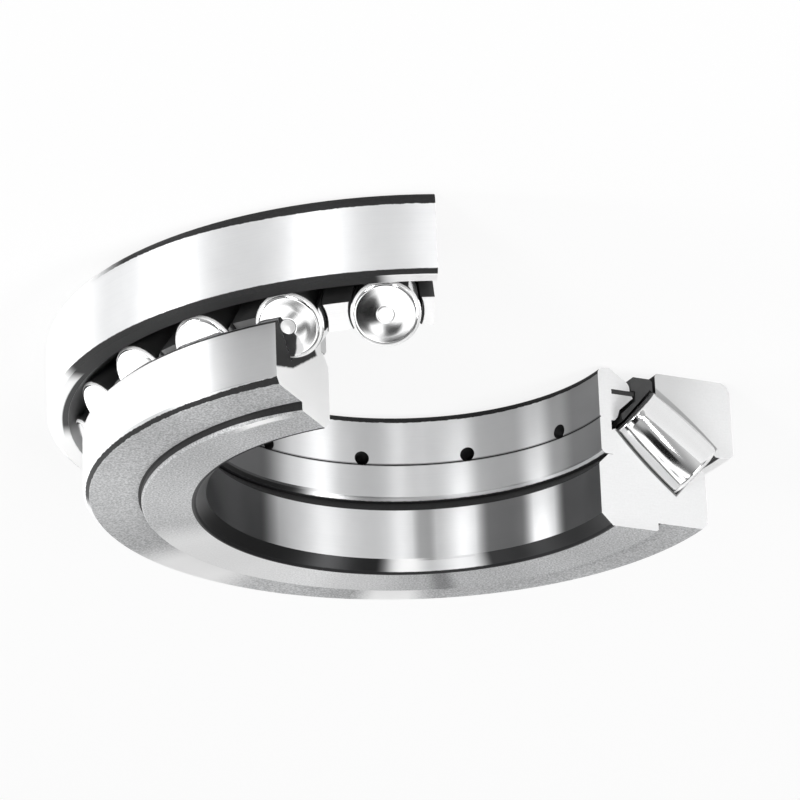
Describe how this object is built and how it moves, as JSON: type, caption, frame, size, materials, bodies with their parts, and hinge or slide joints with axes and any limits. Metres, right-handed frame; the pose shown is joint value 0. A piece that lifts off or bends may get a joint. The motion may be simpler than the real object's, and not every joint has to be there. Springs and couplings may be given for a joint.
{
  "type": "spherical roller thrust bearing",
  "caption": "Spherical roller thrust bearing as a cutaway: barrel rollers in a cage between a housing washer and a flanged shaft washer with a guide sleeve.",
  "frame": {"origin": "on the bearing axis, at the middle of the straight wall of the shaft washer's bore", "axes": "+Z along the bearing axis from the housing washer to the shaft washer; the section cut with the whole roller lies at 154 degrees from +X, the other cuts at 265.5 and 292.5 degrees"},
  "size_m": [0.1994, 0.21, 0.05],
  "materials": {
    "ring_steel": "ground bearing steel",
    "sleeve_steel": "fine turned steel",
    "spring_steel": "dark spring steel",
    "cage_steel": "machined steel, darkened",
    "roller_steel": "polished bearing steel"
  },
  "bodies": {
    "housing": {"housing_washer": "ring_steel"},
    "shaft": {"shaft_washer": "ring_steel", "guide_sleeve": "sleeve_steel", "retaining_ring": "spring_steel"},
    "cage_frame": {"cage": "cage_steel"},
    "rolling_1": {"roller_1": "roller_steel"},
    "rolling_2": {"roller_2": "roller_steel"},
    "rolling_3": {"roller_3": "roller_steel"},
    "rolling_4": {"roller_4": "roller_steel"},
    "rolling_5": {"roller_5": "roller_steel"},
    "rolling_6": {"roller_6": "roller_steel"},
    "rolling_7": {"roller_7": "roller_steel"},
    "rolling_8": {"roller_8": "roller_steel"},
    "rolling_9": {"roller_9": "roller_steel"},
    "rolling_10": {"roller_10": "roller_steel"},
    "rolling_11": {"roller_11": "roller_steel"},
    "rolling_12": {"roller_12": "roller_steel"},
    "rolling_13": {"roller_13": "roller_steel"},
    "rolling_14": {"roller_14": "roller_steel"},
    "rolling_15": {"roller_15": "roller_steel"}
  },
  "joints": [
    {"name": "shaft_turn", "type": "hinge", "parent": "housing", "child": "shaft", "pos_m": [0, 0, 0], "axis": [0, 0, 1], "continuous": true},
    {"name": "cage_turn", "type": "hinge", "parent": "housing", "child": "cage_frame", "pos_m": [0, 0, 0], "axis": [0, 0, 1], "continuous": true},
    {"name": "roller_1_spin", "type": "hinge", "parent": "cage_frame", "child": "rolling_1", "pos_m": [-0.07343, 0.03581, -0.0168], "axis": [-0.6783, 0.3308, 0.6561], "continuous": true},
    {"name": "roller_2_spin", "type": "hinge", "parent": "cage_frame", "child": "rolling_2", "pos_m": [-0.05961, 0.05587, -0.0168], "axis": [-0.5507, 0.5161, 0.6561], "continuous": true},
    {"name": "roller_3_spin", "type": "hinge", "parent": "cage_frame", "child": "rolling_3", "pos_m": [-0.0405, 0.07096, -0.0168], "axis": [-0.3741, 0.6555, 0.6561], "continuous": true},
    {"name": "roller_4_spin", "type": "hinge", "parent": "cage_frame", "child": "rolling_4", "pos_m": [-0.01778, 0.07974, -0.0168], "axis": [-0.1643, 0.7366, 0.6561], "continuous": true},
    {"name": "roller_5_spin", "type": "hinge", "parent": "cage_frame", "child": "rolling_5", "pos_m": [0.00651, 0.08144, -0.0168], "axis": [0.0602, 0.7523, 0.6561], "continuous": true},
    {"name": "roller_6_spin", "type": "hinge", "parent": "cage_frame", "child": "rolling_6", "pos_m": [0.03023, 0.0759, -0.0168], "axis": [0.2792, 0.7012, 0.6561], "continuous": true},
    {"name": "roller_7_spin", "type": "hinge", "parent": "cage_frame", "child": "rolling_7", "pos_m": [0.05126, 0.06362, -0.0168], "axis": [0.4735, 0.5877, 0.6561], "continuous": true},
    {"name": "roller_8_spin", "type": "hinge", "parent": "cage_frame", "child": "rolling_8", "pos_m": [0.06773, 0.04569, -0.0168], "axis": [0.6257, 0.422, 0.6561], "continuous": true},
    {"name": "roller_9_spin", "type": "hinge", "parent": "cage_frame", "child": "rolling_9", "pos_m": [0.07819, 0.02369, -0.0168], "axis": [0.7223, 0.2189, 0.6561], "continuous": true},
    {"name": "roller_10_spin", "type": "hinge", "parent": "cage_frame", "child": "rolling_10", "pos_m": [0.0817, -0.00041, -0.0168], "axis": [0.7547, -0.0038, 0.6561], "continuous": true},
    {"name": "roller_11_spin", "type": "hinge", "parent": "cage_frame", "child": "rolling_11", "pos_m": [0.07795, -0.02447, -0.0168], "axis": [0.7201, -0.226, 0.6561], "continuous": true},
    {"name": "roller_12_spin", "type": "hinge", "parent": "cage_frame", "child": "rolling_12", "pos_m": [0.06727, -0.04636, -0.0168], "axis": [0.6214, -0.4282, 0.6561], "continuous": true},
    {"name": "roller_13_spin", "type": "hinge", "parent": "cage_frame", "child": "rolling_13", "pos_m": [0.05062, -0.06413, -0.0168], "axis": [0.4676, -0.5924, 0.6561], "continuous": true},
    {"name": "roller_14_spin", "type": "hinge", "parent": "cage_frame", "child": "rolling_14", "pos_m": [0.02947, -0.0762, -0.0168], "axis": [0.2722, -0.7039, 0.6561], "continuous": true},
    {"name": "roller_15_spin", "type": "hinge", "parent": "cage_frame", "child": "rolling_15", "pos_m": [0.0057, -0.0815, -0.0168], "axis": [0.0526, -0.7529, 0.6561], "continuous": true}
  ],
  "couplings": [
    {"joint": "cage_turn", "follows": "shaft_turn", "ratio": 0.4608},
    {"joint": "roller_1_spin", "follows": "shaft_turn", "ratio": -4.2954},
    {"joint": "roller_2_spin", "follows": "shaft_turn", "ratio": -4.2954},
    {"joint": "roller_3_spin", "follows": "shaft_turn", "ratio": -4.2954},
    {"joint": "roller_4_spin", "follows": "shaft_turn", "ratio": -4.2954},
    {"joint": "roller_5_spin", "follows": "shaft_turn", "ratio": -4.2954},
    {"joint": "roller_6_spin", "follows": "shaft_turn", "ratio": -4.2954},
    {"joint": "roller_7_spin", "follows": "shaft_turn", "ratio": -4.2954},
    {"joint": "roller_8_spin", "follows": "shaft_turn", "ratio": -4.2954},
    {"joint": "roller_9_spin", "follows": "shaft_turn", "ratio": -4.2954},
    {"joint": "roller_10_spin", "follows": "shaft_turn", "ratio": -4.2954},
    {"joint": "roller_11_spin", "follows": "shaft_turn", "ratio": -4.2954},
    {"joint": "roller_12_spin", "follows": "shaft_turn", "ratio": -4.2954},
    {"joint": "roller_13_spin", "follows": "shaft_turn", "ratio": -4.2954},
    {"joint": "roller_14_spin", "follows": "shaft_turn", "ratio": -4.2954},
    {"joint": "roller_15_spin", "follows": "shaft_turn", "ratio": -4.2954}
  ]
}
